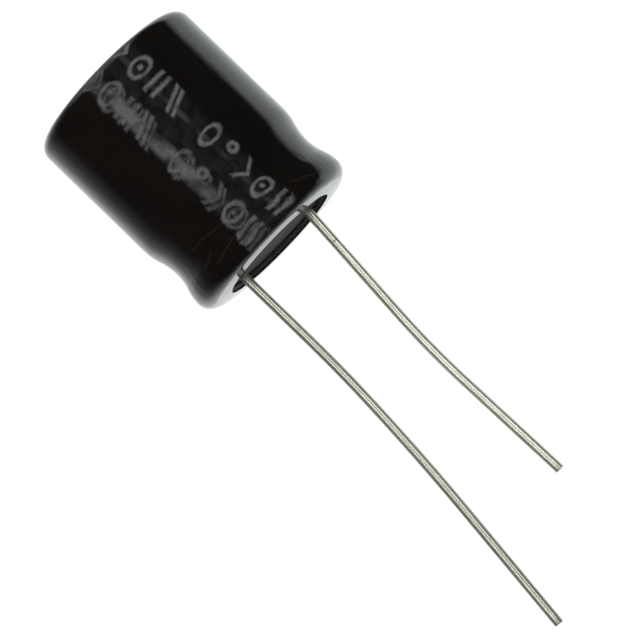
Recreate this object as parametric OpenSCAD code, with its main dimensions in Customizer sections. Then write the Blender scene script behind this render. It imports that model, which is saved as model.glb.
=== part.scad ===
// Radial aluminium electrolytic capacitor, sealed in a heat-shrink sleeve.
// Z is the axis of the can and points to the vent. The part stands on Z = 0,
// its leads point to -Z and the pair of leads lies along X, the anode at -X.

/* [Body] */
// Diameter over the sleeve
body_d = 16.5; // [12:0.1:22]
// Height over the sleeve, from the seat to the top
body_h = 19.75; // [16:0.05:36]
// Running clearance between pieces that touch
fit_gap = 0.02; // [0.01:0.01:0.05]

/* [Sleeve] */
// Wall of the shrunk sleeve
sleeve_t = 0.15; // [0.08:0.01:0.3]
// Radius of the round window that the sleeve leaves at the top
sleeve_top_r = 6.3; // [5:0.1:6.8]
// Radius of the round window that the sleeve leaves at the base
sleeve_base_r = 5.6; // [5.2:0.1:5.8]
// Depth of the bead that the sleeve spans without touching
sleeve_span = 0.37; // [0.1:0.01:0.6]

/* [Can] */
// Side wall of the drawn can
can_wall = 0.35; // [0.2:0.05:0.6]
// Thickness of the can's closed end
can_end = 0.5; // [0.3:0.05:0.9]
// Outer radius of the can's drawn corner
can_corner = 0.9; // [0.8:0.1:1.8]
// Outer radius of the edge that is curled over the rubber
curl_r = 1.05; // [0.8:0.05:1.3]
// Radius at which the curled edge ends
curl_end_r = 5.9; // [5.8:0.1:6.4]
// Width of a vent score at its mouth
vent_w = 0.5; // [0.3:0.05:0.8]
// Depth of a vent score
vent_depth = 0.28; // [0.1:0.02:0.4]
// Length of a vent score
vent_len = 10.4; // [6:0.2:11]
// Number of score lines that cross at the middle of the vent
vent_lines = 2; // [1:1:3]

/* [Bead] */
// Height of the rolled bead above the seat
bead_z = 4.3; // [4:0.1:5]
// Depth of the bead in the can's wall
bead_depth = 0.9; // [0.6:0.05:1.1]
// Radius at the bottom of the bead
bead_r = 1.5; // [1.2:0.1:2]
// Radius of the bead's upper shoulder
upper_shoulder = 5.4; // [4:0.1:8]
// Radius of the bead's lower shoulder, towards the lip
lower_shoulder = 3.9; // [3:0.1:4]

/* [Bung] */
// Height of the rubber bung
bung_h = 5.4; // [5:0.1:7]
// Depth of the wire's narrow hole, from the outer face to the boss
bung_step = 1.5; // [1:0.1:2.5]

/* [Leads] */
// Distance between the two leads where they leave the bung
lead_pitch = 7.5; // [6.5:0.5:7.5]
// Distance of the pair of leads from the can's axis, towards -X
pair_shift = 0.24; // [0:0.02:0.4]
// Diameter of a lead wire
lead_d = 0.8; // [0.6:0.05:1]
// Amount by which bending thins a wire
bend_thin = 0.003; // [0.002:0.001:0.01]
// Least straight stretch between two bends
straight_min = 0.4; // [0.3:0.1:2]
// Straight root of the anode lead below the bung's face
anode_root = 8.05; // [4:0.05:12]
// Angle of the first, tighter part of the anode lead's bow
bow_first_angle = 3; // [0.5:0.1:8]
// Radius of that part
bow_first_r = 122; // [40:1:200]
// Angle of the second part of the bow
bow_second_angle = 3.1; // [0.5:0.1:8]
// Radius of that part
bow_second_r = 225; // [100:5:400]
// Straight end of the anode lead
anode_end = 11.85; // [4:0.05:20]
// Straight root of the cathode lead below the bung's face
cathode_root = 0.3; // [0.2:0.05:3]
// Angle by which the cathode lead leans towards the middle
cathode_lean_angle = 4.4; // [0.5:0.1:10]
// Radius of that bend
cathode_lean_r = 8; // [5:1:30]
// Straight stretch of the cathode lead that leans
cathode_run = 10.6; // [4:0.1:14]
// Angle past straight to which the cathode lead is bent back
cathode_past_angle = 1.3; // [0:0.1:4]
// Radius of that bend
cathode_back_r = 80; // [20:1:120]
// Straight end of the cathode lead
cathode_end = 10.6; // [4:0.05:20]

/* [Tabs] */
// Diameter of the round boss that seals in the bung
boss_d = 1.9; // [1.4:0.1:2.2]
// Length of a boss
boss_h = 4.2; // [4:0.1:5.5]
// Length of the taper from a boss to its flat tab
taper_h = 0.9; // [0.5:0.1:1.2]
// Thickness of a flat tab
tab_t = 0.16; // [0.1:0.01:0.2]
// Clearance between a flat tab and the foil that it is joined to
tab_seat = 0.05; // [0.04:0.01:0.08]
// Width of a flat tab, as the angle of winding that it covers
tab_angle = 38; // [20:1:50]
// Distance of a tab's upper end from the foils' upper edge
tab_short = 1.2; // [0.5:0.1:4]

/* [Winding] */
// Thickness of each foil
foil_t = 0.22; // [0.18:0.01:0.24]
// Thickness of each paper separator
paper_t = 0.32; // [0.28:0.01:0.34]
// Clearance between the bung's boss taper and the winding
winding_lift = 0.15; // [0.1:0.05:1]
// Clearance between the winding and the can's closed end
winding_head = 0.6; // [0.3:0.1:1.5]
// Distance by which the papers stand past the foils at each end
paper_past = 0.5; // [0.2:0.1:1]
// Thickness of the tape that closes the winding
tape_t = 0.08; // [0.04:0.01:0.12]
// Amount by which the stretched flap of the tape is thinner on each face
flap_thin = 0.003; // [0.002:0.001:0.005]
// Distance of the tape's edges from the papers' edges
tape_inset = 1.5; // [0.5:0.1:3]
// Angle by which the tape laps the turn below
tape_lap = 60; // [20:5:120]
// Turns between the core and a tab
tab_turn = 2; // [1:1:2]

/* [Hidden] */
$fn = 72;

// A cut reaches this far past the face that it opens
past = 1;
// Shapes that make one solid lie over each other by this much
lap = 0.01;

// Can, taken from the sleeve's outside
can_r = body_d / 2 - sleeve_t - fit_gap;
can_z0 = sleeve_t + fit_gap;
can_z1 = body_h - sleeve_t - fit_gap;
bore_r = can_r - can_wall;

// Bead: heights from its middle to where each shoulder meets the straight side
upper_reach = bead_reach(upper_shoulder);
lower_reach = bead_reach(lower_shoulder);

// Bung, seated on the curled edge
bung_z0 = can_z0 + can_wall + fit_gap;
bung_z1 = bung_z0 + bung_h;

// Tabs and leads
lead_x = lead_pitch / 2;
boss_z0 = bung_z0 + bung_step;
boss_z1 = boss_z0 + boss_h;
taper_z1 = boss_z1 + taper_h;
lead_top = boss_z0 - fit_gap;
seal_run = lead_top - bung_z0;
bend_in = straight_min / 4;

// Winding: layers stack outwards in this order within one pitch
layer_gap = fit_gap;
wind_p = 2 * (foil_t + paper_t + 2 * layer_gap);
wind_q = wind_p / 4;
core_r = lead_x - tab_t / 2 - tab_seat - foil_t - tab_turn * wind_p - wind_q;
paper_z0 = taper_z1 + winding_lift;
paper_z1 = can_z1 - can_end - winding_head;
foil_z0 = paper_z0 + paper_past;
foil_z1 = paper_z1 - paper_past;
tab_z1 = foil_z1 - tab_short;
wind_turns = floor((bore_r - tape_t - 2 * layer_gap - core_r - wind_p / 2 - wind_q) / wind_p);
at_anode_foil = 0;
at_inner_paper = foil_t + layer_gap;
at_cathode_foil = wind_p / 2;
at_outer_paper = wind_p / 2 + at_inner_paper;

// Height over which a shoulder and the bead's groove run into each other
function bead_reach(shoulder) = sqrt(bead_depth * (2 * (shoulder + bead_r) - bead_depth));

// Radius of a shallower groove that runs into the same shoulder over the same height
function groove_r(depth, shoulder, reach) = (reach * reach + depth * depth) / (2 * depth) - shoulder;

// Half section of a solid whose side is a barrel with one bead. The straight side has
// radius r, the ends lie at z0 and z1 and have corner radii c0 and c1.
module barrel_half(r, z0, z1, c0, c1) {
    square_from(0, r - c0, z0, z0 + c0 + lap);
    square_from(0, r, z0 + c0, bead_z - lower_reach);
    square_from(0, r, bead_z + upper_reach, z1 - c1);
    square_from(0, r - c1, z1 - c1 - lap, z1);
    translate([r - c0, z0 + c0])
        quarter(c0, -1);
    translate([r - c1, z1 - c1])
        quarter(c1, 1);
}

// Half section of the upper half of a bead: its groove, then its shoulder
module bead_half(r, depth, groove, shoulder, reach) {
    rise = reach * groove / (shoulder + groove);
    difference() {
        square_from(0, r, bead_z, bead_z + rise);
        translate([r - depth + groove, bead_z])
            circle(r = groove);
    }
    square_from(0, r - shoulder, bead_z + rise - lap, bead_z + reach + lap);
    intersection() {
        translate([r - shoulder, bead_z + reach])
            circle(r = shoulder);
        square_from(r - shoulder - lap, r + past, bead_z + rise - lap, bead_z + reach + lap);
    }
}

// The same for the lower half
module lower_bead_half(r, depth, groove, shoulder, reach) {
    translate([0, 2 * bead_z])
        mirror([0, 1])
            bead_half(r, depth, groove, shoulder, reach);
}

// Rectangle between two radii and two heights
module square_from(x0, x1, y0, y1) {
    translate([x0, y0])
        square([x1 - x0, y1 - y0]);
}

// Quarter disc of radius r, above its centre for side 1 and below it for side -1
module quarter(r, side) {
    intersection() {
        circle(r = r);
        square_from(-lap, r + past, min(-side * lap, side * r), max(-side * lap, side * r));
    }
}

// Outside of the can, moved inwards by inset
module can_half(inset) {
    r = can_r - inset;
    barrel_half(r, can_z0 + inset, can_z1 - inset, curl_r - inset, can_corner - inset);
    bead_half(r, bead_depth, bead_r + inset, upper_shoulder - inset, upper_reach);
    lower_bead_half(r, bead_depth, bead_r + inset, lower_shoulder - inset, lower_reach);
}

// Outside of the sleeve for grow = sleeve_t, and its inside for grow = 0. It lies on the
// can's shoulders and spans the bottom of the bead.
module sleeve_half(grow) {
    out = fit_gap + grow;
    r = can_r + out;
    dip = bead_depth - sleeve_span;
    upper = upper_shoulder + fit_gap;
    lower = lower_shoulder + fit_gap;
    barrel_half(r, can_z0 - out, can_z1 + out, curl_r + out, can_corner + out);
    bead_half(r, dip, groove_r(dip, upper, upper_reach) - grow, upper + grow, upper_reach);
    lower_bead_half(r, dip, groove_r(dip, lower, lower_reach) - grow, lower + grow, lower_reach);
}

module sleeve() {
    color("#17130f")
        rotate_extrude()
            difference() {
                sleeve_half(sleeve_t);
                sleeve_half(0);
                square_from(0, sleeve_base_r, -past, can_z0 + past);
                square_from(0, sleeve_top_r, can_z1 - past, body_h + past);
            }
}

// Drawn can with the bead rolled into its side and its mouth curled over the bung
module can() {
    color("#c9cbcc")
        difference() {
            rotate_extrude()
                difference() {
                    can_half(0);
                    can_cavity_half();
                    square_from(0, curl_end_r, -past, can_z0 + can_wall + past);
                }
            for (i = [0 : vent_lines - 1])
                rotate([0, 0, 45 + i * 180 / vent_lines])
                    translate([0, 0, can_z1])
                        score();
        }
}

// Inside of the can, whose closed end is thicker than its side
module can_cavity_half() {
    intersection() {
        can_half(can_wall);
        square_from(0, body_d, 0, can_z1 - can_end);
    }
}

// One straight score line with a V section, centred on Z
module score() {
    rotate([90, 0, 90])
        linear_extrude(height = vent_len, center = true)
            polygon([[-vent_w / 2, 0], [0, -vent_depth], [vent_w / 2, 0], [vent_w / 2, past],
                [-vent_w / 2, past]]);
}

// Rubber bung, gripped by the bead, with a stepped hole for each terminal
module bung() {
    color("#3f423d")
        difference() {
            rotate_extrude()
                intersection() {
                    can_half(can_wall + fit_gap);
                    square_from(0, body_d, 0, bung_z1);
                }
            for (side = [-1, 1])
                translate([side * lead_x, 0, 0])
                    terminal_hole();
        }
}

// Wide hole for a boss, and a narrow one for its wire, which isn't quite in its middle
module terminal_hole() {
    translate([-pair_shift, 0, bung_z0 - past])
        cylinder(h = bung_step + past, d = lead_d + 2 * fit_gap);
    translate([0, 0, boss_z0 - fit_gap])
        cylinder(h = bung_h + past, d = boss_d + 2 * fit_gap);
}

// Boss, taper and curved tab of one terminal, on the +X side
module terminal_tab() {
    translate([lead_x, 0, boss_z0])
        cylinder(h = boss_h, d = boss_d);
    translate([lead_x, 0, boss_z1])
        cylinder(h = taper_h, d1 = boss_d, d2 = tab_t);
    tab_blade(0, boss_z1 + taper_h / 2, tab_z1);
}

// The flat tab follows the turn of foil that it is joined to. Grown by grow, it is also
// the pocket that the papers leave for it.
module tab_blade(grow, z0, z1) {
    angle = tab_angle + 2 * asin(grow / lead_x);
    translate([0, 0, z0])
        rotate([0, 0, -angle / 2])
            rotate_extrude(angle = angle)
                square_from(lead_x - tab_t / 2 - grow, lead_x + tab_t / 2 + grow, 0, z1 + grow - z0);
}

module anode_tab() {
    color("#d6d7d4")
        rotate([0, 0, 180])
            terminal_tab();
}

module cathode_tab() {
    color("#d6d7d4")
        terminal_tab();
}

// A wire that starts at the origin and runs down. Each step is [straight, angle, radius]:
// a straight length, then a bend in the XZ plane, positive towards +X.
module wire(steps, i = 0) {
    if (i < len(steps)) {
        run = steps[i][0];
        angle = steps[i][1];
        radius = steps[i][2];
        side = angle < 0 ? -1 : 1;
        translate([0, 0, -run]) {
            cylinder(h = run, d = lead_d);
            if (angle != 0)
                translate([side * radius, 0, 0]) {
                    rotate([-90, 0, 0])
                        rotate([0, 0, side > 0 ? 180 - angle : 0])
                            bend(abs(angle), radius);
                    rotate([0, -angle, 0])
                        translate([-side * radius, 0, 0])
                            wire(steps, i + 1);
                }
        }
    }
}

// One bend of a wire, which ends inside the straight wire on either side of it
module bend(angle, radius) {
    over = asin(bend_in / radius);
    rotate([0, 0, -over])
        rotate_extrude(angle = angle + 2 * over)
            translate([radius, 0])
                circle(d = lead_d - bend_thin);
}

// Long lead: straight out of the bung, then a slow bow outwards
module anode_lead() {
    color("#b9b4a8")
        translate([-lead_x - pair_shift, 0, lead_top])
            wire([[seal_run + anode_root, -bow_first_angle, bow_first_r],
                [straight_min, -bow_second_angle, bow_second_r], [anode_end, 0, 0]]);
}

// Short lead: leans towards the middle and is straightened again
module cathode_lead() {
    color("#b9b4a8")
        translate([lead_x - pair_shift, 0, lead_top])
            wire([[seal_run + cathode_root, -cathode_lean_angle, cathode_lean_r],
                [cathode_run, cathode_lean_angle + cathode_past_angle, cathode_back_r],
                [cathode_end, 0, 0]]);
}

// One strip of the winding: half rings whose centres change side at each half turn
module strip(at, t, z0, z1, turns = wind_turns) {
    for (n = [0 : turns - 1]) {
        half_ring(0, core_r + at + n * wind_p, t, z0, z1);
        half_ring(1, core_r + at + n * wind_p + wind_p / 2, t, z0, z1);
    }
}

module half_ring(half, r, t, z0, z1) {
    translate([half == 0 ? -wind_q : wind_q, 0, z0])
        rotate([0, 0, half * 180])
            rotate_extrude(angle = 180)
                square_from(r, r + t, 0, z1 - z0);
}

module anode_foil() {
    color("#8f9290")
        strip(at_anode_foil, foil_t, foil_z0, foil_z1);
}

module cathode_foil() {
    color("#b4b6b3")
        strip(at_cathode_foil, foil_t, foil_z0, foil_z1);
}

// Paper outside the anode foil, with a pocket for the anode's tab
module inner_separator() {
    color("#e6dcc0")
        difference() {
            strip(at_inner_paper, paper_t, paper_z0, paper_z1);
            rotate([0, 0, 180])
                tab_blade(fit_gap, paper_z0 - past, tab_z1);
        }
}

// Paper outside the cathode foil, with a pocket for the cathode's tab
module outer_separator() {
    color("#e6dcc0")
        difference() {
            strip(at_outer_paper, paper_t, paper_z0, paper_z1);
            tab_blade(fit_gap, paper_z0 - past, tab_z1);
        }
}

// Tape over the last half turn. It bridges the step at the strips' ends and laps the
// turn below.
module closing_tape() {
    r = core_r + wind_turns * wind_p + layer_gap;
    reach = r + wind_p;
    flap = sqrt(reach * reach - r * r);
    tape_z0 = paper_z0 + tape_inset;
    tape_h = paper_z1 - tape_inset - tape_z0;
    color("#d9c27a") {
        half_ring(1, r + wind_p / 2, tape_t, tape_z0, tape_z0 + tape_h);
        translate([-wind_q, 0, tape_z0])
            rotate([0, 0, acos(r / reach)]) {
                translate([r + flap_thin, -flap - tape_t / 2, 0])
                    cube([tape_t - 2 * flap_thin, flap + 1.5 * tape_t, tape_h]);
                rotate_extrude(angle = tape_lap)
                    square_from(r, r + tape_t, 0, tape_h);
            }
    }
}

sleeve();
can();
bung();
anode_tab();
cathode_tab();
anode_lead();
cathode_lead();
anode_foil();
cathode_foil();
inner_separator();
outer_separator();
closing_tape();
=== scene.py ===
"""Dresses the packed model of a radial electrolytic capacitor.

Builds the shrunk sleeve and the two wires, finishes every piece and sets a plain stage.
"""

import math
from collections import namedtuple

import bmesh
import bpy
from bpy.props import FloatProperty, FloatVectorProperty, IntProperty, PointerProperty
from mathutils import Matrix, Vector


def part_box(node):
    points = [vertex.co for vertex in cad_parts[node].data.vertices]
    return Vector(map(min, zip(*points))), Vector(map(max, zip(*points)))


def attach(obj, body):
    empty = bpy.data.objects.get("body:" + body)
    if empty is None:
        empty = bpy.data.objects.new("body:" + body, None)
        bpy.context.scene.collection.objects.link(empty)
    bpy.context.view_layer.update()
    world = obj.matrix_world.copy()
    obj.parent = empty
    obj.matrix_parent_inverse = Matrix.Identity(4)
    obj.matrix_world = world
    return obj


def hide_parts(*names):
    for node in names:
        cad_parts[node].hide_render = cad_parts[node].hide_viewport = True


bl_info = {
    "name": "Electrolytic Capacitor Dresser",
    "version": (1, 0, 0),
    "blender": (4, 5, 0),
    "location": "View3D > Sidebar > Capacitor",
    "description": "Builds the sleeve and wires of a radial electrolytic capacitor and finishes every piece",
    "category": "Object",
}

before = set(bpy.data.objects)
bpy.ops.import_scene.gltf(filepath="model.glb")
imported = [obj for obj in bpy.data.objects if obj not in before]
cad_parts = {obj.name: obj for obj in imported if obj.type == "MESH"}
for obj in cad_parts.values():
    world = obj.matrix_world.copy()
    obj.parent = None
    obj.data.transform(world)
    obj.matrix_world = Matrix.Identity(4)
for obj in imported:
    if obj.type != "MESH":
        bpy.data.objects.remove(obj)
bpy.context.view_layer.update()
SLEEVE_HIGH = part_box("sleeve")[1]
MM = 0.001


# Sizes and colours


def length(label, text, default, low=0.0):
    """A size in metres, shown in the scene's own unit."""
    return FloatProperty(
        name=label, description=text, default=default, min=low, precision=5, unit="LENGTH", subtype="DISTANCE"
    )


def turn(label, text, degrees):
    """An angle, given in degrees."""
    return FloatProperty(
        name=label, description=text, default=math.radians(degrees), unit="ROTATION", subtype="ANGLE"
    )


def amount(label, text, default):
    """A plain number from zero up."""
    return FloatProperty(name=label, description=text, default=default, min=0.0)


def colour(label, text, default):
    """A linear colour."""
    return FloatVectorProperty(
        name=label, description=text, default=default, min=0.0, max=1.0, size=3, subtype="COLOR"
    )


class SleeveSizes(bpy.types.PropertyGroup):
    """Section of the heat-shrink sleeve, as it lies over the can."""

    radius: length("Radius", "Radius over the sleeve's straight wall", SLEEVE_HIGH[0])
    height: length("Height", "Height of the sleeve over the vent end", SLEEVE_HIGH[2])
    wall: length("Wall", "Thickness of the shrunk sleeve", 0.15 * MM)
    clearance: length("Clearance", "Gap between the sleeve and the can", 0.02 * MM)
    window_radius: length("Window radius", "Radius of the opening over the vent", 6.3 * MM)
    mouth_radius: length("Mouth radius", "Radius of the opening round the wires", 5.6 * MM)
    corner: length("Corner", "Bend of the sleeve over the can's closed end", 1.07 * MM)
    curl: length("Curl", "Bend of the sleeve round the can's curled mouth", 1.22 * MM)
    lip_lean: turn("Lip lean", "Lean of the lip, whose inner edge is its lowest", 3.4)
    bead_height: length("Bead height", "Height of the deepest part of the can's bead", 4.3 * MM)
    bead_depth: length("Bead depth", "Depth of the bead in the can's wall", 0.9 * MM)
    bead_bend: length("Bead bend", "Bend at the bottom of the can's bead", 1.5 * MM)
    span: length("Span", "Part of the bead's depth that the sleeve spans", 0.37 * MM)
    upper_shoulder: length("Upper shoulder", "Bend from the straight wall into the groove", 5.57 * MM)
    lower_shoulder: length("Lower shoulder", "Bend from the groove into the lip", 4.07 * MM)
    edge_wander: length("Edge wander", "How far the shrunk edges stray from a true circle", 0.05 * MM)
    steps: IntProperty(name="Steps", description="Faces round the sleeve", default=256, min=32, max=512)


class PrintSizes(bpy.types.PropertyGroup):
    """Two rows of printed marks that run up the sleeve's front."""

    clear_row: length("Clear row", "Middle of the clear row, to the right of the front", 2.42 * MM)
    struck_row: length("Struck row", "Middle of the row struck twice, to the left of the front", 0.9 * MM)
    pitch: length("Pitch", "Distance from mark to mark", 1.99 * MM)
    clear_stroke: length("Clear stroke", "Half width of a stroke in the clear row", 0.135 * MM)
    struck_stroke: length("Struck stroke", "Half width of a stroke of the first strike", 0.15 * MM)
    again_stroke: length("Second stroke", "Half width of a stroke of the second strike", 0.12 * MM)
    middle: length("Middle", "Height of the rows' middle", 9.9 * MM)
    reach: length("Reach", "Distance from the rows' middle to their ends", 9.75 * MM)


class WireSizes(bpy.types.PropertyGroup):
    """The two tinned wires."""

    radius: length("Radius", "Radius of a wire", 0.4 * MM)
    spacing: length("Spacing", "Distance between the wires where they leave the seal", 7.5 * MM)
    shift: length("Shift", "How far the pair stands off the can's axis, towards the long wire", 0.24 * MM)
    seat: length("Seat", "Height inside the seal at which a wire starts", 2.02 * MM)
    cut_edge: length("Cut edge", "Width of the rounding at a cut end", 0.06 * MM)
    sides: IntProperty(name="Sides", description="Faces round a wire", default=40, min=12, max=96)


class Finishes(bpy.types.PropertyGroup):
    """Colours of the pieces."""

    sleeve: colour("Sleeve", "Shrunk plastic of the sleeve", (0.0042, 0.0033, 0.0026))
    crease: colour("Crease", "Thin creases in the sleeve", (0.026, 0.02, 0.016))
    # the marks' colour also paints a faint highlight band on the sleeve's front
    marks: colour("Marks", "Printed marks on the sleeve", (0.146, 0.14, 0.147))
    can: colour("Can", "Drawn aluminium of the can", (0.78, 0.79, 0.8))
    bung: colour("Bung", "Rubber of the seal", (0.016, 0.0175, 0.0135))
    dust: colour("Dust", "Dust on the rubber", (0.045, 0.046, 0.04))
    wire: colour("Wire", "Tinned wire", (0.8, 0.795, 0.69))
    tab: colour("Tab", "Aluminium of the terminals inside", (0.8, 0.8, 0.79))
    anode_foil: colour("Anode foil", "Etched and formed foil", (0.42, 0.43, 0.42))
    cathode_foil: colour("Cathode foil", "Etched foil", (0.6, 0.61, 0.6))
    paper: colour("Paper", "Soaked paper", (0.78, 0.7, 0.52))
    tape: colour("Tape", "Closing tape", (0.7, 0.55, 0.22))


class StageSizes(bpy.types.PropertyGroup):
    """Camera, floor and light."""

    aim: FloatVectorProperty(
        name="Aim", description="Point that the camera looks at", default=(-2.2 * MM, 0.0, -6.8 * MM),
        unit="LENGTH", subtype="TRANSLATION",
    )
    distance: length("Distance", "Camera to the aimed point", 371.0 * MM)
    lens: amount("Lens", "Focal length on a 36 mm sensor, in millimetres", 253.8)
    rise: turn("Rise", "Camera above the object's level", -5.7)
    roll: turn("Roll", "Turn of the camera about its own axis", -45.9)
    floor_level: length("Floor level", "Height of the floor", -46.0 * MM, low=-1.0)
    floor_colour: colour("Floor", "Colour of the floor", (0.86, 0.86, 0.86))
    floor_glow: colour("Floor glow", "Light that the floor gives to the camera alone", (0.34, 0.34, 0.34))
    fill: amount("Fill", "Strength of the surrounding light on matt surfaces", 0.5)
    dark: amount("Dark", "What gloss mirrors in front of the object", 0.03)
    key: amount("Key", "Power of the main lamp in watts", 1.5)
    wire_key: amount("Wire key", "Power of the lamps that the wires mirror, in watts", 0.26)
    wire_fill: amount("Wire fill", "Power of the broad lamp for the wires, in watts", 0.8)


# Node helpers


class Nodes:
    """Adds nodes to one tree and joins them, so that a formula reads on one line."""

    def __init__(self, tree):
        self.tree = tree

    def put(self, kind, inputs=(), out=0, **settings):
        """One node with its settings and inputs; gives back one of its outputs."""
        node = self.tree.nodes.new(kind)
        for key, value in settings.items():
            setattr(node, key, value)
        pairs = inputs.items() if isinstance(inputs, dict) else enumerate(inputs)
        for key, value in pairs:
            if value is None:
                continue
            if isinstance(value, bpy.types.NodeSocket):
                self.tree.links.new(value, node.inputs[key])
            else:
                node.inputs[key].default_value = value
        return node.outputs[out]

    def calc(self, operation, *values, clamp=False):
        """One Math node."""
        return self.put("ShaderNodeMath", values, operation=operation, use_clamp=clamp)

    def chain(self, operation, values):
        """The same Math node over and over, for any number of values."""
        result = values[0]
        for value in values[1:]:
            result = self.calc(operation, result, value)
        return result

    def add(self, *values):
        return self.chain("ADD", values)

    def times(self, *values):
        return self.chain("MULTIPLY", values)

    def most(self, *values):
        return self.chain("MAXIMUM", values)

    def minus(self, first, second):
        return self.calc("SUBTRACT", first, second)

    def size(self, value):
        return self.calc("ABSOLUTE", value)

    def apart(self, first, second):
        """How far two values lie apart."""
        return self.size(self.minus(first, second))

    def shares(self, *parts):
        """Sum of values, each times its share."""
        return self.add(*[self.times(value, share) for value, share in parts])

    def vector(self, operation, *values, out=0):
        """One Vector Math node."""
        return self.put("ShaderNodeVectorMath", values, operation=operation, out=out)

    def stretch(self, vector, scale):
        """A vector with each part times its own number."""
        return self.vector("MULTIPLY", vector, scale)

    def fade(self, value, low, high, to_low=0.0, to_high=1.0):
        """A smooth step from one level to the other."""
        inputs = {0: value, 1: low, 2: high, 3: to_low, 4: to_high}
        return self.put("ShaderNodeMapRange", inputs, interpolation_type="SMOOTHSTEP")

    def noise(self, vector, scale, detail=2.0, roughness=0.5):
        """Fractal noise round 0.5."""
        return self.put(
            "ShaderNodeTexNoise", {"Vector": vector, "Scale": scale, "Detail": detail, "Roughness": roughness}
        )

    def blend(self, factor, first, second):
        """Two colours mixed."""
        inputs = {0: factor, 6: first, 7: second}
        return self.put("ShaderNodeMix", inputs, out=2, data_type="RGBA")

    def join(self, x, y, z):
        return self.put("ShaderNodeCombineXYZ", (x, y, z))

    def split(self, vector):
        node = self.tree.nodes.new("ShaderNodeSeparateXYZ")
        self.tree.links.new(vector, node.inputs[0])
        return node.outputs

    def place(self):
        """Place on the object in millimetres."""
        found = self.put("ShaderNodeTexCoord", out="Object")
        return self.put("ShaderNodeMapping", {"Vector": found, "Scale": (1 / MM, 1 / MM, 1 / MM)})


def new_group(name, inputs, outputs):
    """An empty shader node group; gives the group, its node helper, its inputs and its output node."""
    tree = bpy.data.node_groups.new(name, "ShaderNodeTree")
    for label, kind, default in inputs:
        socket = tree.interface.new_socket(label, in_out="INPUT", socket_type=kind)
        if default is not None:
            socket.default_value = default
    for label in outputs:
        tree.interface.new_socket(label, in_out="OUTPUT", socket_type="NodeSocketFloat")
    n = Nodes(tree)
    entry = tree.nodes.new("NodeGroupInput")
    leave = tree.nodes.new("NodeGroupOutput")
    return tree, n, {s.name: s for s in entry.outputs if s.name}, leave


def numbers(**defaults):
    """Group inputs that are plain numbers; a name's low line stands for a space."""
    return [(name.replace("_", " "), "NodeSocketFloat", value) for name, value in defaults.items()]


def use_group(n, tree, inputs, out=0):
    """Places a group in a material."""
    node = n.tree.nodes.new("ShaderNodeGroup")
    node.node_tree = tree
    for key, value in inputs.items():
        if isinstance(value, bpy.types.NodeSocket):
            n.tree.links.new(value, node.inputs[key])
        else:
            node.inputs[key].default_value = value
    return node.outputs if out is None else node.outputs[out]


def use_grain(n, groups, place, size, stretch=(1.0, 1.0, 1.0)):
    """Places the shared grain; gives its height and its mask by name."""
    return use_group(n, groups["grain"], {"Place": place, "Size": size, "Stretch": stretch}, out=None)


def new_material(name):
    """A material with one Principled shader."""
    material = bpy.data.materials.new(name)
    material.use_nodes = True
    shader = material.node_tree.nodes["Principled BSDF"]
    return material, Nodes(material.node_tree), shader


def feed(n, shader, **sockets):
    """Sets or links the shader's sockets; a name's low line stands for a space."""
    for key, value in sockets.items():
        socket = shader.inputs[key.replace("_", " ")]
        if isinstance(value, bpy.types.NodeSocket):
            n.tree.links.new(value, socket)
        else:
            socket.default_value = value


def relief(n, shader, height, depth):
    """A bump whose height is in units of depth, in metres."""
    normal = n.put("ShaderNodeBump", {"Strength": 1.0, "Distance": depth, "Height": height}, out="Normal")
    n.tree.links.new(normal, shader.inputs["Normal"])


def rgba(value, scale=1.0):
    """An opaque colour, made lighter or darker by scale."""
    return (value[0] * scale, value[1] * scale, value[2] * scale, 1.0)


# Shared effects


def grain_group():
    """Fine uneven grain: a height, and a mask of wide patches for colour."""
    tree, n, given, leave = new_group(
        "fine_grain",
        [
            ("Place", "NodeSocketVector", None),
            ("Size", "NodeSocketFloat", 0.2),
            ("Stretch", "NodeSocketVector", (1.0, 1.0, 1.0)),
        ],
        ["Height", "Mask"],
    )
    patch_share = 0.13
    place = n.stretch(given["Place"], given["Stretch"])
    scale = n.calc("DIVIDE", 1.0, given["Size"])
    fine = n.noise(place, scale, 4.0, 0.6)
    wide = n.noise(place, n.times(scale, patch_share))
    tree.links.new(fine, leave.inputs["Height"])
    tree.links.new(n.fade(wide, 0.35, 0.65), leave.inputs["Mask"])
    return tree


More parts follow.
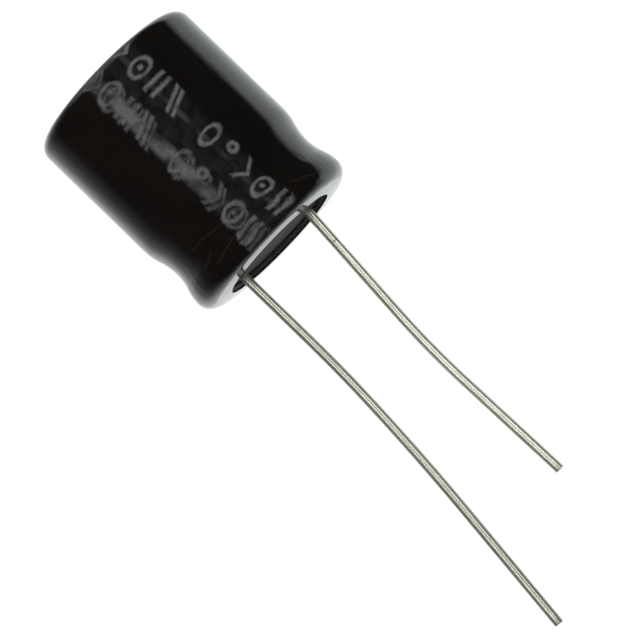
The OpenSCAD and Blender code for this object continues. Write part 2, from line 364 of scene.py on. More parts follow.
def mark_group():
    """Plain printed marks in a row: rings, bars, dots and chevrons, in millimetres."""
    tree, n, given, leave = new_group(
        "plain_marks", numbers(Across=0.0, Along=0.0, Pitch=1.99, Stroke=0.15), ["Mask"]
    )
    # half sizes across the row and along it
    oval_size, eye_size, pupil_size, dot_size = (1.02, 0.55), (1.04, 0.66), (0.2, 0.2), (0.36, 0.36)
    half_bar, half_chevron = 1.1, 1.15
    # places and slopes within a mark
    dot_at, bar_at, hatch_at, hatch_slope = 0.62, 0.4, 0.3, 0.42
    chevron_at, chevron_slope = 0.55, 0.6
    edge_out, edge_in = 0.19, -0.12
    counts_from = 100.0

    stroke, u = given["Stroke"], given["Across"]
    along = n.calc("DIVIDE", n.add(given["Along"], counts_from), given["Pitch"])
    w = n.times(n.minus(n.calc("FRACT", along), 0.5), given["Pitch"])
    u_size = n.size(u)

    def outline(distance):
        return n.minus(n.size(distance), stroke)

    def ring(half_u, half_w, at=0.0):
        """Distance to an oval, near enough for a stroke."""
        side = n.calc("DIVIDE", n.minus(u, at), half_u)
        reach = n.vector("LENGTH", n.join(side, n.calc("DIVIDE", w, half_w), 0.0), out="Value")
        return n.times(n.minus(reach, 1.0), (half_u + half_w) / 2)

    def within(half_u, shape):
        return n.most(n.minus(u_size, half_u), shape)

    oval = outline(ring(*oval_size))
    eye = n.calc("MINIMUM", outline(ring(*eye_size)), ring(*pupil_size))
    dot = outline(ring(*dot_size, dot_at))
    bars = within(half_bar, outline(n.minus(n.size(w), bar_at)))
    fold = n.minus(n.times(n.minus(u_size, chevron_at), chevron_slope), w)
    chevron = within(half_chevron, outline(fold))
    slope = n.minus(w, n.times(u, hatch_slope))
    hatch = within(half_bar, outline(n.minus(n.size(slope), hatch_at)))

    row = (eye, chevron, dot, oval, None, hatch, bars)
    cell = n.calc("MODULO", n.calc("FLOOR", along), float(len(row)))
    inks = []
    for number, shape in enumerate(row):
        if shape is not None:
            here = n.calc("COMPARE", cell, float(number), 0.5)
            inks.append(n.times(here, n.fade(shape, edge_out, edge_in)))
    tree.links.new(n.most(*inks), leave.inputs["Mask"])
    return tree


def crease_group():
    """One thin crease on the sleeve: a wavering line with faded ends."""
    tree, n, given, leave = new_group(
        "thin_crease",
        numbers(Arc=0.0, Height=0.0, Centre=0.0, Level=0.0, Slope=0.0, Half_Length=1.0, Width=0.06),
        ["Mask"],
    )
    waver_scale, waver_height = 0.9, 0.5
    from_centre = n.minus(given["Arc"], given["Centre"])
    waver = n.noise(n.join(given["Arc"], given["Level"], 0.0), waver_scale)
    path = n.add(
        given["Level"], n.times(from_centre, given["Slope"]), n.times(n.minus(waver, 0.5), waver_height)
    )
    line = n.fade(n.apart(given["Height"], path), given["Width"], 0.0)
    reach = n.calc("DIVIDE", n.size(from_centre), given["Half Length"])
    tree.links.new(n.times(line, n.fade(reach, 1.0, 0.5)), leave.inputs["Mask"])
    return tree


def effects():
    """The shared node groups, built once."""
    makers = {"fine_grain": grain_group, "plain_marks": mark_group, "thin_crease": crease_group}
    for name, maker in makers.items():
        if name not in bpy.data.node_groups:
            maker()
    groups = bpy.data.node_groups
    return {"grain": groups["fine_grain"], "marks": groups["plain_marks"], "crease": groups["thin_crease"]}


# Finishes


def print_ink_and_highlight(n, groups, sizes, arc, z, speck):
    """Worn ink: one clear row, and one that was struck twice and smeared along its middle; with it a painted
    highlight, a faint lighter band between the rows in the ink's colour.
    """
    wrapped = n.join(arc, z, 0.0)
    pitch = sizes.pitch / MM
    # where each strike begins in the order of marks, and how far aside the second one fell
    clear_start, struck_start, again_start, aside = 9.1, 8.9, 9.45, 0.16
    # middles of the smear on the struck row, of a streak beside the clear row and of a faint lighter band
    # between the rows, which is a painted highlight streak
    smear_at, streak_at, highlight_band_at = -0.2, 1.95, 0.75

    # the ink was dragged about, most of all where the sleeve shrank into the groove
    dragged = n.times(n.minus(n.noise(wrapped, 0.5), 0.5), n.add(0.35, n.times(near_base(n, z), 0.8)))
    ragged = n.times(n.minus(n.noise(wrapped, 5.0, 2.0, 0.6), 0.5), 0.3)
    drag = n.add(dragged, ragged)
    ink_arc, ink_z = n.add(arc, drag), n.add(z, n.times(drag, 0.8))

    def row(across, start, stroke):
        """Marks that begin a length after the start of their order."""
        inputs = {"Across": across, "Along": n.add(ink_z, start), "Pitch": pitch, "Stroke": stroke / MM}
        return use_group(n, groups["marks"], inputs)

    clear = row(n.minus(ink_arc, sizes.clear_row / MM), clear_start, sizes.clear_stroke)
    across = n.add(ink_arc, sizes.struck_row / MM)
    struck = row(across, struck_start, sizes.struck_stroke)
    again = row(n.add(across, aside), again_start, sizes.again_stroke)

    wide = n.noise(wrapped, 0.45)
    smear = n.fade(n.apart(across, smear_at), 0.95, 0.25)
    smear = n.times(smear, n.fade(wide, 0.32, 0.62, 0.15, 0.7), n.fade(z, 3.6, 7.0, 0.25, 1.0))
    streak = n.times(n.fade(n.apart(arc, streak_at), 0.45, 0.05), n.fade(wide, 0.4, 0.65, 0.06, 0.26))
    # painted highlight: a faint band between the rows, lighter in the ink's colour, stands in for a streak of
    # reflected light on the gloss
    highlight_band_cloud = n.fade(n.noise(wrapped, 0.8, 3.0), 0.35, 0.65, 0.01, 0.065)
    painted_highlight_band = n.times(n.fade(n.apart(arc, highlight_band_at), 3.2, 1.9), highlight_band_cloud)

    clear = n.times(clear, n.fade(n.noise(wrapped, 1.3), 0.3, 0.6, 0.55, 0.95))
    twice = n.most(n.times(struck, 0.7), n.times(again, 0.5))
    twice = n.times(twice, n.fade(n.noise(wrapped, 0.9), 0.3, 0.62, 0.5, 1.0))
    ink_and_highlight = n.most(clear, twice, smear, streak, painted_highlight_band)

    reach, soft_end = sizes.reach / MM, 0.55
    rows_end = n.fade(n.apart(z, sizes.middle / MM), reach, reach - soft_end)
    return n.times(ink_and_highlight, n.fade(speck, 0.22, 0.6, 0.55, 1.0), rows_end)


def near_base(n, z):
    """One at the groove and below, zero on the straight wall."""
    return n.fade(z, 6.5, 2.0)


def crease_lines(n, groups, arc, z, speck):
    """Creases where the sleeve was drawn into the groove and round the lip."""
    lines = []
    for centre, level, slope, half_length, width in (
        (0.9, 0.95, 0.05, 3.0, 0.16),
        (-3.6, 1.9, 0.12, 1.8, 0.12),
        (-4.4, 3.9, -0.12, 2.6, 0.1),
        (-5.6, 2.5, 0.3, 1.2, 0.12),
        (5.6, 1.6, -0.3, 1.4, 0.12),
        (-9.0, 2.2, 0.2, 2.2, 0.12),
        (13.0, 1.4, 0.1, 2.5, 0.12),
        (21.0, 3.0, -0.1, 2.0, 0.12),
        (-20.0, 1.2, 0.08, 2.4, 0.12),
    ):
        inputs = {"Arc": arc, "Height": z, "Centre": centre, "Level": level, "Slope": slope}
        inputs.update({"Half Length": half_length, "Width": width})
        lines.append(use_group(n, groups["crease"], inputs))
    return n.times(n.most(*lines), n.fade(speck, 0.3, 0.6, 0.35, 1.0))


def sleeve_material(settings, groups):
    """Glossy black shrunk plastic with worn print, a painted highlight band between the print's rows, small
    waves and creases.
    """
    finish, sizes = settings.capacitor_finishes, settings.capacitor_sleeve
    material, n, shader = new_material("sleeve_plastic")
    place = n.place()
    x, y, z = n.split(place)
    arc = n.times(n.calc("ARCTAN2", x, n.times(y, -1.0)), sizes.radius / MM)

    speck = n.noise(n.join(arc, z, 0.0), 6.0, 3.0, 0.7)
    ink_and_highlight = print_ink_and_highlight(n, groups, settings.capacitor_print, arc, z, speck)
    lines = crease_lines(n, groups, arc, z, speck)
    grain = use_grain(n, groups, place, 0.35, (1.0, 1.0, 0.6))
    waves = n.noise(n.stretch(place, (1.0, 1.0, 0.5)), 0.55)
    puckers = n.times(n.noise(n.stretch(place, (1.0, 1.0, 0.35)), 1.6), near_base(n, z))

    base = n.blend(n.times(grain["Mask"], 0.5), rgba(finish.sleeve), rgba(finish.sleeve, 1.5))
    base = n.blend(n.times(lines, 0.5), base, rgba(finish.crease))
    # the marks' colour paints the print and also the painted highlight band between the rows
    base = n.blend(ink_and_highlight, base, rgba(finish.marks))
    polish = n.fade(grain["Height"], 0.3, 0.7, 0.07, 0.13)
    rough = n.add(polish, n.shares((ink_and_highlight, 0.2), (lines, 0.15)))
    feed(n, shader, Base_Color=base, Roughness=rough, IOR=1.5)
    height = n.shares((grain["Height"], 0.05), (waves, 0.9), (puckers, 0.9), (lines, 0.28), (ink_and_highlight, 0.08))
    relief(n, shader, height, 0.03 * MM)
    return material


def metal_material(name, tint, groups, size, stretch, rough, depth):
    """Aluminium with a grain of its own direction."""
    material, n, shader = new_material(name)
    grain = use_grain(n, groups, n.place(), size, stretch)
    base = n.blend(grain["Mask"], rgba(tint), rgba(tint, 0.92))
    roughness = n.fade(grain["Height"], 0.3, 0.7, rough - 0.07, rough + 0.07)
    feed(n, shader, Base_Color=base, Metallic=1.0, Roughness=roughness)
    relief(n, shader, grain["Height"], depth)
    return material


def wire_material(name, settings, groups, wire):
    """Tinned wire with drawing marks along it, dull where it was handled."""
    material, n, shader = new_material(name)
    tint = [v * wire.shine for v in settings.capacitor_finishes.wire]
    shadow = [v * share for v, share in zip(tint, (0.2, 0.19, 0.15))]
    around = n.put("ShaderNodeAttribute", out="Vector", attribute_name="wire_place")
    marks = n.noise(n.stretch(around, (1.0, 1.0, 0.03)), 4.0, 3.0, 0.6)
    fine = n.noise(n.stretch(around, (1.0, 1.0, 0.035)), 11.0, 2.0, 0.6)
    blotch = n.noise(n.stretch(around, (0.6, 0.6, 0.35)), 2.2, 3.0, 0.6)
    from_flaw = n.vector("DIVIDE", n.vector("SUBTRACT", around, wire.flaw), wire.flaw_size)
    flaw = n.fade(n.vector("LENGTH", from_flaw, out="Value"), 1.0, 0.4)

    level = n.times(
        n.fade(marks, 0.32, 0.62, 0.6, 1.0),
        n.fade(fine, 0.25, 0.7, 0.84, 1.0),
        n.fade(blotch, 0.3, 0.7, 0.84, 1.0),
        n.minus(1.0, n.times(flaw, 0.6)),
    )
    feed(
        n, shader, Base_Color=n.blend(level, rgba(shadow), rgba(tint)), Metallic=0.8,
        Roughness=n.fade(marks, 0.3, 0.7, 0.2, 0.34), Specular_Tint=rgba((0.3, 0.3, 0.3)),
    )
    relief(n, shader, n.shares((marks, 0.6), (fine, 0.25), (flaw, -1.5)), 0.014 * MM)
    return material


def rubber_material(settings, groups):
    """Moulded rubber with a satin skin and dust."""
    finish = settings.capacitor_finishes
    material, n, shader = new_material("bung_rubber")
    place = n.place()
    grain = use_grain(n, groups, place, 0.12)
    dust = n.fade(n.noise(place, 0.9, 4.0, 0.7), 0.5, 0.75, 0.0, 0.35)
    base = n.blend(grain["Mask"], rgba(finish.bung), rgba(finish.bung, 1.25))
    base = n.blend(dust, base, rgba(finish.dust))
    roughness = n.fade(grain["Height"], 0.3, 0.7, 0.64, 0.8)
    feed(n, shader, Base_Color=base, Roughness=roughness, Specular_IOR_Level=0.2)
    relief(n, shader, grain["Height"], 0.012 * MM)
    return material


def winding_material(name, tint, groups, size, rough, depth, metallic, spots):
    """Foil, paper or tape: fibres or etching over a plain tint, with darker stains."""
    material, n, shader = new_material(name)
    place = n.place()
    grain = use_grain(n, groups, place, size, (1.0, 1.0, 0.3))
    stain = n.fade(n.noise(place, 0.35, 3.0, 0.6), 0.35, 0.7, 0.0, spots)
    stained = [v * share for v, share in zip(tint, (0.6, 0.58, 0.5))]
    base = n.blend(grain["Mask"], rgba(tint), rgba(tint, 0.84))
    base = n.blend(stain, base, rgba(stained))
    roughness = n.fade(grain["Height"], 0.3, 0.7, rough - 0.1, rough + 0.1)
    feed(n, shader, Base_Color=base, Metallic=metallic, Roughness=roughness)
    relief(n, shader, grain["Height"], depth)
    return material


# Shapes


def trace(bm, start, moves):
    """Draws a section in the XZ plane from straight lines and arcs, and closes it."""
    tip = bm.verts.new((start[0], 0.0, start[1]))
    for kind, x, z, *bend in moves:
        if kind == "line":
            grown = bmesh.ops.extrude_vert_indiv(bm, verts=[tip])["verts"][0]
            bmesh.ops.translate(bm, verts=[grown], vec=Vector((x, 0.0, z)) - tip.co)
            tip = grown
        else:
            angle, steps = bend
            swept = bmesh.ops.spin(
                bm, geom=[tip], cent=(x, 0.0, z), axis=(0.0, -1.0, 0.0), angle=angle, steps=steps,
                use_duplicate=False,
            )
            tip = next(v for v in swept["geom_last"] if isinstance(v, bmesh.types.BMVert))
    bmesh.ops.remove_doubles(bm, verts=bm.verts[:], dist=0.0005 * MM)


def groove_half(s, shoulder):
    """Turn, centre radius and height of the half of the groove that runs into a shoulder."""
    can_shoulder = shoulder - s.wall - s.clearance
    reach = math.sqrt(s.bead_depth * (2 * (can_shoulder + s.bead_bend) - s.bead_depth))
    dip = s.bead_depth - s.span
    both_bends = (reach * reach + dip * dip) / (2 * dip)
    return math.asin(reach / both_bends), s.radius - dip + both_bends - shoulder, reach


def sleeve_section(s):
    """Start and moves of the sleeve's section: down the outside, round the lip and back up the inside."""
    quarter = math.pi / 2
    upper_turn, upper_out, upper_reach = groove_half(s, s.upper_shoulder)
    lower_turn, lower_out, lower_reach = groove_half(s, s.lower_shoulder)
    upper_in, lower_in = s.radius - s.upper_shoulder, s.radius - s.lower_shoulder
    upper_z, lower_z = s.bead_height + upper_reach, s.bead_height - lower_reach
    corner_x, corner_z = s.radius - s.corner, s.height - s.corner
    inner = s.radius - s.wall

    # the lip is thinnest over the can's curl, so that its outside leans
    curl_x = s.radius - s.curl
    lip_width = curl_x + s.curl * math.sin(s.lip_lean) - s.mouth_radius
    curl_z = lip_width * math.tan(s.lip_lean) + s.curl * math.cos(s.lip_lean)

    # short faces beside a bend keep a straight wall's shading true
    hold = 0.12 * MM
    corner_faces, bead_faces, low_faces, curl_faces = 24, 14, 12, 28
    hidden_corner, hidden_bead, hidden_curl = 8, 5, 10
    outside = [
        ("line", corner_x - hold, s.height),
        ("line", corner_x, s.height),
        ("arc", corner_x, corner_z, -quarter, corner_faces),
        ("line", s.radius, corner_z - hold),
        ("line", s.radius, (corner_z + upper_z) / 2),
        ("line", s.radius, upper_z + hold),
        ("line", s.radius, upper_z),
        ("arc", upper_in, upper_z, -upper_turn, bead_faces),
        ("arc", upper_out, s.bead_height, upper_turn, bead_faces),
        ("arc", lower_out, s.bead_height, lower_turn, bead_faces),
        ("arc", lower_in, lower_z, -lower_turn, low_faces),
        ("line", s.radius, curl_z),
        ("arc", curl_x, curl_z, s.lip_lean - quarter, curl_faces),
        ("line", s.mouth_radius + hold, hold * math.tan(s.lip_lean)),
        ("line", s.mouth_radius, 0.0),
    ]
    inside = [
        ("line", s.mouth_radius, s.wall),
        ("line", curl_x - hold, s.wall),
        ("line", curl_x, s.wall),
        ("arc", curl_x, s.curl, quarter, hidden_curl),
        ("line", inner, lower_z),
        ("arc", lower_in, lower_z, lower_turn, hidden_bead),
        ("arc", lower_out, s.bead_height, -lower_turn, hidden_bead),
        ("arc", upper_out, s.bead_height, -upper_turn, hidden_bead),
        ("arc", upper_in, upper_z, upper_turn, hidden_bead),
        ("line", inner, corner_z),
        ("arc", corner_x, corner_z, quarter, hidden_corner),
        ("line", s.window_radius, s.height - s.wall),
        ("line", s.window_radius, s.height),
    ]
    return (s.window_radius, s.height), outside + inside


def stray_edges(bm, s):
    """Lets the two shrunk edges stray from a true circle, as heat leaves them."""
    for edge_radius, high, second_start in ((s.window_radius, True, 2.1), (s.mouth_radius, False, 0.2)):
        # each wave: how often it goes round, where it starts, and its share
        waves = ((3, 0.6, 0.5), (7, second_start, 0.3), (13, 0.0, 0.2))
        for v in bm.verts:
            flat = v.co.z > s.height - 2 * s.wall if high else v.co.z < 2 * s.wall
            reach = (v.co.xy.length - edge_radius) / (3 * s.wall)
            if not flat or reach > 1.0:
                continue
            around = math.atan2(v.co.y, v.co.x)
            stray = sum(math.sin(count * around + start) * share for count, start, share in waves)
            push = 1.0 + s.edge_wander * stray * (1.0 - max(0.0, reach)) / v.co.xy.length
            v.co.x *= push
            v.co.y *= push


# A route is a row of stretches: a straight length, then a turn in degrees and its bend radius.
# A flaw lies at a place round the wire and along it. Lengths here are in millimetres.
Wire = namedtuple("Wire", "node side route shine flaw flaw_size")
WIRES = {
    "anode_wire": Wire(
        node="anode_lead", side=-1,
        route=((9.53, -3.0, 122.0), (0.4, -3.1, 225.0), (11.85, 0.0, 0.0)),
        shine=0.78, flaw=(0.2, -0.97, 9.2), flaw_size=(0.5, 0.5, 0.22),
    ),
    "cathode_wire": Wire(
        node="cathode_lead", side=1,
        route=((1.78, -4.4, 8.0), (10.6, 5.7, 80.0), (10.6, 0.0, 0.0)),
        shine=0.98, flaw=(0.7, 0.3, 5.4), flaw_size=(0.9, 0.9, 0.07),
    ),
}


def wire_start(sizes, side):
    """Where a wire starts across the can, and at what height."""
    return side * sizes.spacing / 2 - sizes.shift, sizes.seat


def wire_line(start, route):
    """Points on a wire's centre line, with their heading and the length so far, in metres."""
    steps = 12
    x, z = start
    heading, run = 0.0, 0.0
    points = [(x, z, heading, run)]
    for straight, degrees, bend in route:
        legs = [(straight * MM / steps, 0.0)] * steps
        if degrees:
            swing = math.radians(degrees) / steps
            legs += [(abs(swing) * bend * MM, swing)] * steps
        for leg, swing in legs:
            middle = heading + swing / 2
            x += leg * math.sin(middle)
            z -= leg * math.cos(middle)
            heading += swing
            run += leg
            points.append((x, z, heading, run))
    return points


def draw_wire(bm, sizes, start, route):
    """Extrudes a wire out of the seal, along its straights and round its bends."""
    face_length, least_faces, faces_per_degree = 0.8, 6, 2
    x, z = start
    heading = 0.0
    bmesh.ops.create_circle(
        bm, cap_ends=True, radius=sizes.radius, segments=sizes.sides, matrix=Matrix.Translation((x, 0.0, z))
    )
    tip = bm.faces[:]
    for straight, degrees, bend in route:
        pieces = max(1, round(straight / face_length))
        step = Vector((math.sin(heading), 0.0, -math.cos(heading))) * (straight * MM / pieces)
        for _ in range(pieces):
            grown = bmesh.ops.extrude_face_region(bm, geom=tip)["geom"]
            bmesh.ops.translate(bm, verts=[g for g in grown if isinstance(g, bmesh.types.BMVert)], vec=step)
            tip = [g for g in grown if isinstance(g, bmesh.types.BMFace)]
            x += step.x
            z += step.z
        if degrees:
            arm = math.copysign(bend * MM, degrees)
            centre_x = x + arm * math.cos(heading)
            centre_z = z + arm * math.sin(heading)
            swept = bmesh.ops.spin(
                bm, geom=tip, cent=(centre_x, 0.0, centre_z), axis=(0.0, -1.0, 0.0),
                angle=math.radians(degrees), steps=max(least_faces, round(abs(degrees) * faces_per_degree)),
                use_duplicate=False,
            )["geom_last"]
            tip = [g for g in swept if isinstance(g, bmesh.types.BMFace)]
            heading += math.radians(degrees)
            x = centre_x - arm * math.cos(heading)
            z = centre_z - arm * math.sin(heading)
    return tip


def mark_wire(mesh, points, radius):
    """Stores each point's place on a wire: round it as a cosine and a sine, along it in millimetres."""

    def past(v, point):
        """How far a vertex lies before or past the cut across the wire at a point."""
        x, z, heading, _ = point
        return abs((v.co.x - x) * math.sin(heading) - (v.co.z - z) * math.cos(heading))

    store = mesh.attributes.new("wire_place", "FLOAT_VECTOR", "POINT")
    for v in mesh.vertices:
        x, z, heading, run = min(points, key=lambda point: past(v, point))
        across = (v.co.x - x) * math.cos(heading) + (v.co.z - z) * math.sin(heading)
        store.data[v.index].vector = (-v.co.y / radius, across / radius, run / MM)


def make_piece(bm, name, material, node):
    """Turns a bmesh into a finished piece that stands for a CAD node."""
    sharp_from = math.radians(38)
    bmesh.ops.recalc_face_normals(bm, faces=bm.faces[:])
    mesh = bpy.data.meshes.new(name)
    bm.to_mesh(mesh)
    bm.free()
    mesh.shade_smooth()
    mesh.set_sharp_from_angle(angle=sharp_from)
    piece = bpy.data.objects.new(name, mesh)
    bpy.context.collection.objects.link(piece)
    mesh.materials.append(material)
    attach(piece, "root")
    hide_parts(node)
    return piece


def repaint(node, material):
    """Gives a CAD node its finish."""
    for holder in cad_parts[node].material_slots:
        holder.material = material


# Stage


def set_camera(scene, stage):
    """Aims the camera as the photograph was taken."""
    data = bpy.data.cameras.new("camera")
    data.sensor_width = 36.0
    data.lens = stage.lens
    data.clip_start, data.clip_end = 0.01, 20.0
    camera = bpy.data.objects.new("camera", data)
    bpy.context.collection.objects.link(camera)
    away = Vector((0.0, -math.cos(stage.rise), math.sin(stage.rise)))
    camera.location = Vector(stage.aim) + away * stage.distance
    level = (-away).to_track_quat("-Z", "Y").to_matrix()
    camera.rotation_euler = (level @ Matrix.Rotation(stage.roll, 3, "Z")).to_euler()
    scene.camera = camera
    scene.view_settings.view_transform = "Standard"


def floor_material(stage):
    """Pale paint that glows a little for the camera and is clear from below."""
    material, n, shader = new_material("floor_paint")
    specks = n.fade(n.noise(n.put("ShaderNodeTexCoord", out="Object"), 60.0, 3.0), 0.3, 0.7)
    base = n.blend(specks, rgba(stage.floor_colour), rgba(stage.floor_colour, 0.98))
    seen = n.put("ShaderNodeLightPath", out="Is Camera Ray")
    glow = rgba(stage.floor_glow)
    feed(n, shader, Base_Color=base, Roughness=0.8, Emission_Color=glow, Emission_Strength=seen)
    clear = n.put("ShaderNodeBsdfTransparent")
    below = n.put("ShaderNodeNewGeometry", out="Backfacing")
    mixed = n.put("ShaderNodeMixShader", (below, shader.outputs[0], clear))
    n.tree.links.new(mixed, n.tree.nodes["Material Output"].inputs["Surface"])
    return material


def set_floor(stage):
    """A pale floor below the wires that can't be seen from under it and that gloss doesn't mirror."""
    bm = bmesh.new()
    bmesh.ops.create_grid(
        bm, x_segments=2, y_segments=2, size=1.5, matrix=Matrix.Translation((0.0, 0.0, stage.floor_level))
    )
    mesh = bpy.data.meshes.new("floor")
    bm.to_mesh(mesh)
    bm.free()
    floor = bpy.data.objects.new("floor", mesh)
    bpy.context.collection.objects.link(floor)
    mesh.materials.append(floor_material(stage))
    floor.visible_glossy = False


def add_lamp(name, place, size, power):
    """A square lamp that faces the origin and that gloss doesn't mirror."""
    data = bpy.data.lights.new(name, "AREA")
    data.shape, data.size, data.energy = "SQUARE", size, power
    lamp = bpy.data.objects.new(name, data)
    bpy.context.collection.objects.link(lamp)
    lamp.location = place
    lamp.rotation_euler = (-Vector(place)).to_track_quat("-Z", "Y").to_euler()
    lamp.visible_camera = False
    lamp.visible_glossy = False
    return lamp


def set_lamps(stage):
    """A broad main lamp, a weaker one from the right and above, and three that only the wires show."""
    add_lamp("main_lamp", (-0.22, -0.42, 0.1), 0.4, stage.key)
    add_lamp("side_lamp", (0.35, -0.1, 0.35), 0.3, stage.key * 0.4)
    wires = bpy.data.collections.new("lit_wires")
    for name in WIRES:
        if name in bpy.data.objects:
            wires.objects.link(bpy.data.objects[name])
    for name, place, size, power in (
        ("left_wire_lamp", (-0.21, -0.45, 0.0), 0.15, stage.wire_key),
        ("right_wire_lamp", (0.25, -0.42, 0.0), 0.18, stage.wire_key),
        ("wire_tent", (0.1, -0.5, 0.0), 0.8, stage.wire_fill),
    ):
        lamp = add_lamp(name, place, size, power)
        lamp.visible_glossy = True
        lamp.light_linking.receiver_collection = wires


def mirrored_light(n, stage):
    """What gloss mirrors in each direction, and how far a direction lies to the right.

    In a direction x points right, y away from the camera and z up.
    """
    x, y, z = n.split(n.put("ShaderNodeTexCoord", out="Generated"))
    flat = n.calc("SQRT", n.add(n.times(x, x), n.times(z, z)))
    to_right = n.fade(n.calc("DIVIDE", x, n.most(flat, 0.001)), -0.3, 0.3)

    # to the left a slow rise that ends in a steeper one
    slow = n.calc("DIVIDE", n.add(y, 0.1), 0.9, clamp=True)
    left = n.shares((n.calc("POWER", slow, 2.0), 0.84), (n.calc("POWER", slow, 8.0), 0.25))

    # to the right a sharper step, which comes later the higher up it is
    lowered = n.minus(y, n.times(n.most(n.minus(z, 0.12), 0.0), 0.4))
    right = n.times(n.fade(lowered, 0.13, 0.39, 0.0, 1.1), n.fade(z, -0.7, -0.55))

    behind = n.add(n.times(right, to_right), n.times(left, n.minus(1.0, to_right)))
    behind = n.times(behind, n.fade(z, 0.05, -0.06, 1.0, 1.12))
    below = n.times(n.fade(z, -0.4, -0.55, 0.0, 1.5), n.fade(y, 0.05, 1.0))
    above = n.fade(z, 0.8, 0.97, 0.0, 0.8)
    return n.most(behind, below, above, stage.dark), to_right


def set_world(scene, stage):
    """White to the camera, even on matt surfaces, and dim in front of gloss, where it would mirror a lamp."""
    world = bpy.data.worlds.new("studio")
    scene.world = world
    world.use_nodes = True
    n = Nodes(world.node_tree)
    back = world.node_tree.nodes["Background"]
    mirrored, to_right = mirrored_light(n, stage)
    path = world.node_tree.nodes.new("ShaderNodeLightPath").outputs
    plain = n.most(path["Is Camera Ray"], path["Is Transmission Ray"])
    level = n.put("ShaderNodeMix", (path["Is Glossy Ray"], None, stage.fill, mirrored), data_type="FLOAT")
    level = n.put("ShaderNodeMix", (plain, None, level, 1.0), data_type="FLOAT")
    cool, white = rgba((0.93, 1.0, 0.975)), rgba((1.0, 1.0, 1.0))
    tint = n.blend(n.times(path["Is Glossy Ray"], to_right), white, cool)
    n.tree.links.new(tint, back.inputs["Color"])
    n.tree.links.new(level, back.inputs["Strength"])


# Operators


class CAPACITOR_OT_sleeve(bpy.types.Operator):
    """Build the shrunk sleeve from its section and give it its printed plastic"""

    bl_idname = "capacitor.sleeve"
    bl_label = "Shrunk Sleeve"

    def execute(self, context):
        sizes = context.scene.capacitor_sleeve
        bm = bmesh.new()
        start, moves = sleeve_section(sizes)
        trace(bm, start, moves)
        bmesh.ops.spin(
            bm, geom=bm.verts[:] + bm.edges[:], cent=(0.0, 0.0, 0.0), axis=(0.0, 0.0, 1.0), angle=math.tau,
            steps=sizes.steps, use_merge=True, use_duplicate=False,
        )
        stray_edges(bm, sizes)
        make_piece(bm, "shrunk_sleeve", sleeve_material(context.scene, effects()), "sleeve")
        return {"FINISHED"}


class CAPACITOR_OT_wires(bpy.types.Operator):
    """Draw the long and the short tinned wire"""

    bl_idname = "capacitor.wires"
    bl_label = "Wires"

    def execute(self, context):
        sizes = context.scene.capacitor_wires
        for name, wire in WIRES.items():
            bm = bmesh.new()
            start = wire_start(sizes, wire.side)
            tip = draw_wire(bm, sizes, start, wire.route)
            rim = [edge for face in tip for edge in face.edges]
            bmesh.ops.bevel(
                bm, geom=rim, offset=sizes.cut_edge, segments=3, profile=0.5, affect="EDGES", material=-1
            )
            material = wire_material(name + "_tin", context.scene, effects(), wire)
            piece = make_piece(bm, name, material, wire.node)
            mark_wire(piece.data, wire_line(start, wire.route), sizes.radius)
        return {"FINISHED"}


class CAPACITOR_OT_can(bpy.types.Operator):
    """Finish the can, the seal and the two terminals"""

    bl_idname = "capacitor.can"
    bl_label = "Can, Seal and Terminals"

    def execute(self, context):
        finish, groups = context.scene.capacitor_finishes, effects()
        can = metal_material(
            "can_aluminium", finish.can, groups, size=0.16, stretch=(1.0, 1.0, 0.15), rough=0.36,
            depth=0.006 * MM,
        )
        tab = metal_material(
            "tab_aluminium", finish.tab, groups, size=0.14, stretch=(1.0, 1.0, 0.2), rough=0.4,
            depth=0.008 * MM,
        )
        repaint("can", can)
        repaint("bung", rubber_material(context.scene, groups))
        repaint("anode_tab", tab)
        repaint("cathode_tab", tab)
        return {"FINISHED"}


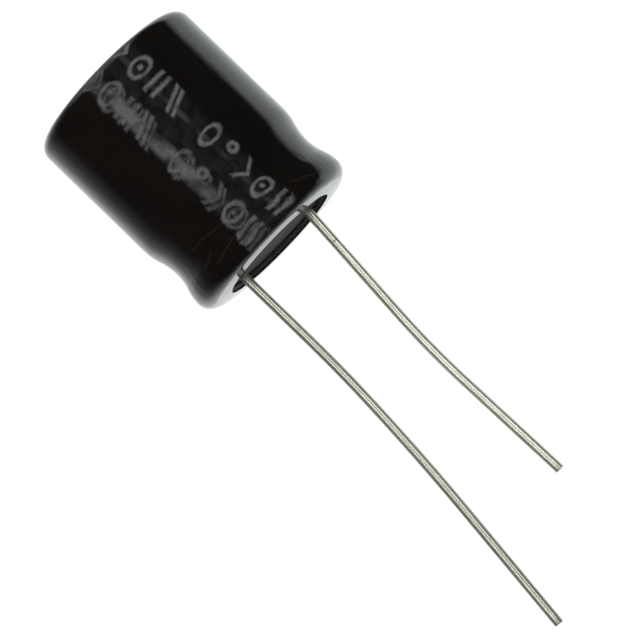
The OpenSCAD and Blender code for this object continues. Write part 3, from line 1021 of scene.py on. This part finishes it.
class CAPACITOR_OT_winding(bpy.types.Operator):
    """Finish the foils, the papers and the closing tape"""

    bl_idname = "capacitor.winding"
    bl_label = "Winding"

    def execute(self, context):
        finish, groups = context.scene.capacitor_finishes, effects()
        anode = winding_material(
            "anode_foil_etched", finish.anode_foil, groups, size=0.08, rough=0.62, depth=0.01 * MM,
            metallic=0.7, spots=0.3,
        )
        cathode = winding_material(
            "cathode_foil_etched", finish.cathode_foil, groups, size=0.1, rough=0.5, depth=0.008 * MM,
            metallic=0.8, spots=0.25,
        )
        paper = winding_material(
            "soaked_paper", finish.paper, groups, size=0.22, rough=0.75, depth=0.02 * MM,
            metallic=0.0, spots=0.6,
        )
        tape = winding_material(
            "closing_tape_film", finish.tape, groups, size=0.5, rough=0.35, depth=0.004 * MM,
            metallic=0.0, spots=0.2,
        )
        repaint("anode_foil", anode)
        repaint("cathode_foil", cathode)
        repaint("inner_separator", paper)
        repaint("outer_separator", paper)
        repaint("closing_tape", tape)
        return {"FINISHED"}


class CAPACITOR_OT_stage(bpy.types.Operator):
    """Set the camera, the floor, the lamps and the surrounding light"""

    bl_idname = "capacitor.stage"
    bl_label = "Stage"

    def execute(self, context):
        stage = context.scene.capacitor_stage
        set_camera(context.scene, stage)
        set_floor(stage)
        set_lamps(stage)
        set_world(context.scene, stage)
        return {"FINISHED"}


class CAPACITOR_PT_dresser(bpy.types.Panel):
    """Lists the sizes, the colours and the steps"""

    bl_idname = "CAPACITOR_PT_dresser"
    bl_label = "Electrolytic Capacitor"
    bl_space_type = "VIEW_3D"
    bl_region_type = "UI"
    bl_category = "Capacitor"

    def draw(self, context):
        for operator in OPERATORS:
            self.layout.operator(operator.bl_idname)
        for name, group in SETTINGS.items():
            box = self.layout.box()
            box.label(text=group.__doc__.strip())
            for key in group.__annotations__:
                box.prop(getattr(context.scene, name), key)


OPERATORS = (
    CAPACITOR_OT_sleeve, CAPACITOR_OT_wires, CAPACITOR_OT_can, CAPACITOR_OT_winding, CAPACITOR_OT_stage,
)
SETTINGS = {
    "capacitor_sleeve": SleeveSizes,
    "capacitor_print": PrintSizes,
    "capacitor_wires": WireSizes,
    "capacitor_finishes": Finishes,
    "capacitor_stage": StageSizes,
}
CLASSES = (*SETTINGS.values(), *OPERATORS, CAPACITOR_PT_dresser)


def register():
    for cls in CLASSES:
        bpy.utils.register_class(cls)
    for name, group in SETTINGS.items():
        setattr(bpy.types.Scene, name, PointerProperty(type=group))


def unregister():
    for name in SETTINGS:
        delattr(bpy.types.Scene, name)
    for cls in reversed(CLASSES):
        bpy.utils.unregister_class(cls)


def main():
    """Builds everything in order."""
    register()
    bpy.ops.capacitor.sleeve()
    bpy.ops.capacitor.wires()
    bpy.ops.capacitor.can()
    bpy.ops.capacitor.winding()
    bpy.ops.capacitor.stage()


if __name__ == "__main__":
    main()
